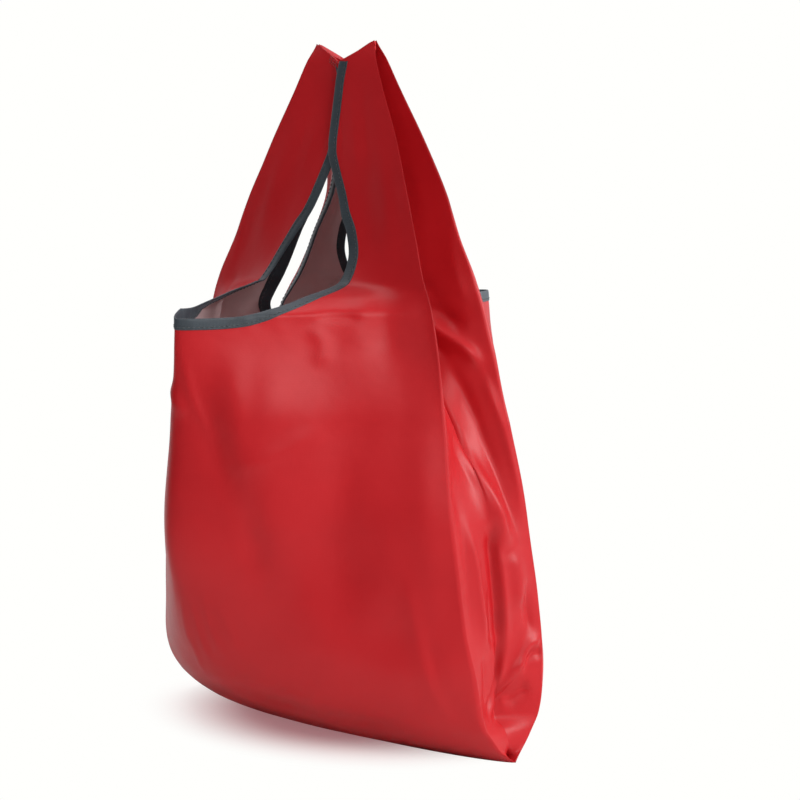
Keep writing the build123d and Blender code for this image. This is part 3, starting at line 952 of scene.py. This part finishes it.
def stripPiece(name, low, high, count):
    # a raw overlocked edge between two lines of points, with a gentle ripple
    places, width = [], 6
    for i in range(count):
        share = i / (count - 1)
        a, b = low(share), high(share)
        run = share * np.linalg.norm(low(1) - low(0))
        for side in (1, -1):
            for k in (range(3) if side > 0 else range(2, -1, -1)):
                t = k / 2
                bend = seams["wave"] * t * math.sin(run / seams["waveLength"] * 2 * math.pi + 1.3 * math.sin(run / 31))
                places.append(a + (b - a) * t + np.array([0, side * seams["thick"] / 2 + bend, 0]))
    made = gridFaces(0, count, width, False)
    made += [tuple(range(width))[::-1], tuple(range((count - 1) * width, count * width))]
    piece = newObject(name, carried(places), made, [greyCoating])
    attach(piece, "bag")
    return piece


def bottomLine(rise):
    return lambda t: np.array([seams["bottomHalf"] * (2 * t - 1), 0, seams["bottom"] + rise])


def foldLine(sx, inset):
    # along the inside of a gusset's fold
    low, high = seams["sideRun"]
    at = lambda z: np.array([(sectionAt(z)[3] - seams["offFold"] - inset) * sx, 0, z])
    return lambda t: at(low + (high - low) * t)


bottomStrip = stripPiece("bottomSeamAllowance", bottomLine(0), bottomLine(seams["width"]), 90)
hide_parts("bottom_seam")
for name, sx in (("right", 1), ("left", -1)):
    strip = stripPiece(name + "SideSeamAllowance", foldLine(sx, 0), foldLine(sx, seams["width"]), 130)
    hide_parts(name + "_side_seam")

# storage pouch
pouch = {
    "width": 131, "height": 125, "bulge": 3.6, "edge": 1.2, "cloth": 0.6, "sag": 0.8,
    "hem": 7.0, "stitchDrop": 5.4, "stitchOut": 0.68, "stitch": (0.4, 2.6, 1.2),
    "columns": 40, "rowCount": 38, "hemSteps": 96,
}
swing = next(j for j in frame["joints"] if j["name"] == "pouch_swing")
heading = Vector(swing["axis"]).normalized()
inwards = Vector((-heading.y, heading.x, 0))
low, high = (sum((Vector(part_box(n)[k]) for n in ("pouch_front", "pouch_back")), Vector()) / 2 for k in (0, 1))
middle = (low + high) / 2 / mm


def pouchPlace(u, v, w):
    # u across, v up and w towards the inside of the bag, in millimetres from the pouch's middle
    return middle + heading * u + inwards * w + Vector((0, 0, v))


def mouthSag(a):
    # the pouch hangs a little unevenly from its loop
    return pouch["sag"] * math.sin(a * 2.4 + 1)


def mouthHalf(a):
    # half the pouch's thickness at its mouth
    return pouch["edge"] / 2 + pouch["bulge"] / 2 * (1 - abs(a) ** 3.2) * 0.45


def pouchSide(sign):
    places, made = [], []
    for i in range(pouch["rowCount"] + 1):
        for j in range(pouch["columns"] + 1):
            a, b = 2 * j / pouch["columns"] - 1, i / pouch["rowCount"]
            swell = (1 - abs(a) ** 3.2) * min(1, 2.6 * b + 0.15) * (1 - 0.55 * b**3)
            pull = 1 - 0.018 * math.sin(math.pi * b) - 0.012 * (1 - b)
            crease = 0.9 * noise.noise(Vector((a * 3, b * 2.4, 4 + sign)))
            crease += 0.4 * noise.noise(Vector((a * 9, b * 5, sign)))
            w = pouch["edge"] / 2 + pouch["bulge"] / 2 * swell + max(0, crease) * swell
            v = (b - 0.5) * pouch["height"] + mouthSag(a)
            places.append(pouchPlace(a * pouch["width"] / 2 * pull, v, sign * w))
    made = gridFaces(0, pouch["rowCount"] + 1, pouch["columns"] + 1, sign > 0, closed=False)
    return places, made


def pouchWall(name, sign, node):
    places, made = pouchSide(sign)
    thick = [Vector(p) - inwards * sign * pouch["cloth"] for p in places]
    count, width = len(places), pouch["columns"] + 1
    inner = [tuple(i + count for i in face[::-1]) for face in made]
    ring = list(range(width)) + [width * k + width - 1 for k in range(1, pouch["rowCount"] + 1)]
    ring += [count - 1 - k for k in range(1, width)] + [width * k for k in range(pouch["rowCount"] - 1, 0, -1)]
    rim = [(a, b, b + count, a + count) for a, b in zip(ring, ring[1:] + ring[:1])]
    rim = [r if sign > 0 else r[::-1] for r in rim]
    slots = [0] * len(made) + [1] * len(inner) + [0] * len(rim)
    piece = newObject(name, places + thick, made + inner + rim, [redPolyester, greyCoating], slots)
    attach(piece, "pouch")
    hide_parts(node)
    return piece


pouchPieces = [pouchWall("pouchFrontWall", -1, "pouch_front"), pouchWall("pouchBackWall", 1, "pouch_back")]


def pouchHem():
    # turned hem round the pouch's mouth, a little proud of the walls
    section = [
        (-pouch["hem"], 0.35), (-pouch["hem"] + 0.5, 0.75), (-3.5, 0.6), (-0.6, 0.85), (0.2, 0.3), (-0.4, -0.5),
        (-pouch["hem"], -0.4),
    ]
    places, width, turns = [], len(section), pouch["hemSteps"]
    for i in range(turns):
        angle = 2 * math.pi * i / turns
        a = math.copysign(abs(math.cos(angle)) ** 0.35, math.cos(angle))
        b = math.copysign(abs(math.sin(angle)) ** 0.8, math.sin(angle))
        half = mouthHalf(a)
        for drop, out in section:
            u = a * (pouch["width"] / 2 * 0.995 + out)
            v = pouch["height"] / 2 + drop + mouthSag(a) + 0.25 * noise.noise(Vector((a * 6, b, 2)))
            places.append(pouchPlace(u, v, b * (half + out)))
    made = []
    for i in range(turns):
        for j in range(width):
            a, b = i * width + j, i * width + (j + 1) % width
            c = (i + 1) % turns * width
            made.append((a, b, c + (j + 1) % width, c + j))
    piece = newObject("pouchHemBand", places, made, [redPolyester])
    return piece


hem = pouchHem()
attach(hem, "pouch")
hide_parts("pouch_hem")
tracks = []
for sign in (1, -1):
    line = []
    for a in np.linspace(-0.96, 0.96, 60):
        height, out = pouch["height"] / 2 - pouch["stitchDrop"] + mouthSag(a), mouthHalf(a) + pouch["stitchOut"]
        line.append(pouchPlace(a * pouch["width"] / 2, height, sign * out))
    tracks.append((np.array(line), np.array([tuple(inwards * sign)] * len(line))))
hemStitches = stitchRow("pouchHemStitches", tracks, redThread, *pouch["stitch"])
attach(hemStitches, "pouch")


# half widths where the tape is full and where it thins out, half thickness there, and how far it bellies
loopTape = {"half": 5.6, "edge": 6.0, "thick": 0.6, "edgeThick": 0.25, "belly": 0.25, "rowCount": 14}


def loopPiece():
    # short folded tape from the wall's binding down behind the pouch's hem
    lowLoop, highLoop = (Vector(c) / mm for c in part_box("pouch_loop"))
    centre = (lowLoop + highLoop) / 2
    places, count, full, edge = [], loopTape["rowCount"], loopTape["half"], loopTape["edge"]
    for i in range(count):
        share = i / (count - 1)
        v = lowLoop.z + (highLoop.z - lowLoop.z) * share
        belly = loopTape["belly"] * math.sin(math.pi * share)
        for side, half in ((1, -edge), (1, -full), (1, 0), (1, full), (1, edge), (-1, full), (-1, 0), (-1, -full)):
            thick = loopTape["edgeThick"] if abs(half) == edge else loopTape["thick"]
            spot = centre + heading * half + inwards * (side * (thick + 0.05 * math.sin(v)) + belly)
            places.append(Vector((spot.x, spot.y, v)))
    made = gridFaces(0, count, 8, False)
    made += [tuple(range(8))[::-1], tuple(range((count - 1) * 8, count * 8))]
    piece = newObject("pouchLoopTape", places, made, [greyTape])
    return piece


loop = loopPiece()
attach(loop, "pouch")
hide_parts("pouch_loop")
print("pouch made")

# every sheet of cloth as it is cut: width and length in metres, and its flat area without the cut-outs
cuts = {"bagShell": (1.08, 0.50, 0.50), "strap": (0.15, 0.21, 0.025), "pouchWall": (0.131, 0.125, None)}
sewnEnds = ("Tape", "Stitches", "Allowance", "HandleTop")


def sewn(*starts):
    return [o for o in bpy.data.objects if o.name.startswith(starts) and o.name.endswith(sewnEnds)]


width, length, area = cuts["bagShell"]
for name in partNames[1:]:
    width, length, area = cuts["strap"]
    side = name.split("Front")[0].split("Back")[0]
    extra = sewn(name[: -len("Strap")] + "StrapMouth", name[: -len("Strap")] + "StrapSlit")
    if "Front" in name:
        extra += sewn(side + "HandleTop")
for piece in pouchPieces:
    width, length, _ = cuts["pouchWall"]
    extra = [hem, hemStitches, loop] if piece is pouchPieces[0] else []

# floor, background and lamps
studio = {
    # the pink tint and its strength below are a painted glow that lifts and warms the floor's shadow near the bag
    "floor": "#F4F4F2", "white": "#FFFFFD", "paintedThroughClothTint": "#FFB8BF", "paintedThroughClothGlow": 0.3,
    # the tent: colour, strength all round and on its dark side, which way that faces, and where it turns dark
    "tent": "#FBFCFF", "surround": 0.9, "viewSide": 0.12, "darkWay": (0.08, -0.96, 0.27), "darkFrom": (-0.1, 0.7),
}
# the patch of floor that takes shadow, an ellipse round the foot: middle and half axes in metres, turn
# in degrees, and the share of its radius at which the shadow starts to fade
shadow = {"middle": (-0.02, 0, 0), "reach": (0.21, 0.145, 1), "turn": 4, "fadeFrom": 0.35}


def floorMaterial():
    # matte white paper sweep: it takes the bag's shadow close by, lifted and warmed by a painted pink glow, and shows
    # pure white further off
    material, tree = newMaterial("whitePaperSweep")
    place = addNode(tree, "ShaderNodeTexCoord").outputs["Object"]
    patch = addNode(
        tree, "ShaderNodeMapping", {"vector_type": "TEXTURE"}, {"Vector": place},
        Location=shadow["middle"], Rotation=(0, 0, math.radians(shadow["turn"])), Scale=shadow["reach"],
    )
    away = addNode(tree, "ShaderNodeVectorMath", {"operation": "LENGTH"}, {0: patch.outputs[0]})
    fade = addNode(
        tree, "ShaderNodeMapRange", {"interpolation_type": "SMOOTHSTEP"}, {"Value": away.outputs["Value"]},
        From_Min=shadow["fadeFrom"], From_Max=1.0,
    )
    paper = addNode(tree, "ShaderNodeBsdfDiffuse", Color=hexLinear(studio["floor"]))
    # a painted pink glow, seen only by the camera, lifts and warms the shadow in place of daylight come through the red
    # cloth
    lift = addNode(tree, "ShaderNodeEmission", Color=hexLinear(studio["paintedThroughClothTint"]), Strength=studio["paintedThroughClothGlow"])
    paperWithPaintedGlow = addNode(tree, "ShaderNodeAddShader", links={0: paper.outputs[0], 1: lift.outputs[0]})
    white = addNode(tree, "ShaderNodeEmission", Color=hexLinear(studio["white"]), Strength=1.0)
    seen = addNode(tree, "ShaderNodeMixShader", links={0: fade.outputs[0], 1: paperWithPaintedGlow.outputs[0], 2: white.outputs[0]})
    path = addNode(tree, "ShaderNodeLightPath")
    mix = addNode(
        tree, "ShaderNodeMixShader", links={0: path.outputs["Is Camera Ray"], 1: paper.outputs[0], 2: seen.outputs[0]},
    )
    addNode(tree, "ShaderNodeOutputMaterial", links={"Surface": mix.outputs[0]})
    return material


floorMesh = bpy.data.meshes.new("floor")
floorMesh.from_pydata([(-9, -9, 0), (9, -9, 0), (9, 9, 0), (-9, 9, 0)], [], [(0, 1, 2, 3)])
floorMesh.materials.append(floorMaterial())
floor = bpy.data.objects.new("floor", floorMesh)
floor.location.z = -0.0005
scene.collection.objects.link(floor)

world = bpy.data.worlds.new("studio")
scene.world = world
world.use_nodes = True
worldTree = world.node_tree
worldTree.nodes.clear()
# a bright tent, darker on the side where the camera stands, so that the cloth's shine shows its folds
direction = addNode(worldTree, "ShaderNodeTexCoord").outputs["Generated"]
facing = addNode(worldTree, "ShaderNodeVectorMath", {"operation": "DOT_PRODUCT"}, {0: direction})
facing.inputs[1].default_value = studio["darkWay"]
darkStart, darkFull = studio["darkFrom"]
strength = addNode(
    worldTree, "ShaderNodeMapRange", {"interpolation_type": "SMOOTHSTEP"}, {"Value": facing.outputs["Value"]},
    From_Min=darkStart, From_Max=darkFull, To_Min=studio["surround"], To_Max=studio["viewSide"],
)
path = addNode(worldTree, "ShaderNodeLightPath")
tent = addNode(
    worldTree, "ShaderNodeBackground", links={"Strength": strength.outputs[0]}, Color=hexLinear(studio["tent"]),
)
white = addNode(worldTree, "ShaderNodeBackground", Color=hexLinear(studio["white"]), Strength=1.0)
mixed = addNode(
    worldTree, "ShaderNodeMixShader", links={0: path.outputs["Is Camera Ray"], 1: tent.outputs[0], 2: white.outputs[0]},
)
addNode(worldTree, "ShaderNodeOutputWorld", links={"Surface": mixed.outputs[0]})

# white softboxes: place, what each looks at, width and height in metres, and watts
lamps = {
    "keySoftbox": ((1.8, 1.2, 1.4), (0.1, 0, 0.25), (1.1, 1.1), 46),
    "sideSoftbox": ((2.0, -0.7, 1.6), (0.1, 0, 0.25), (0.9, 1.1), 24),
    "fillSoftbox": ((0.9, -2.4, 1.5), (0, 0, 0.3), (1.4, 1.2), 5),
    "topSoftbox": ((-0.2, -0.2, 2.3), (0, 0, 0.25), (1.4, 1.4), 15),
}
for name, (place, target, size, power) in lamps.items():
    data = bpy.data.lights.new(name, "AREA")
    data.shape, data.energy = "RECTANGLE", power
    data.size, data.size_y = size
    lamp = bpy.data.objects.new(name, data)
    lamp.location = place
    lamp.rotation_euler = (Vector(target) - Vector(place)).to_track_quat("-Z", "Y").to_euler()
    scene.collection.objects.link(lamp)
print("studio lit")
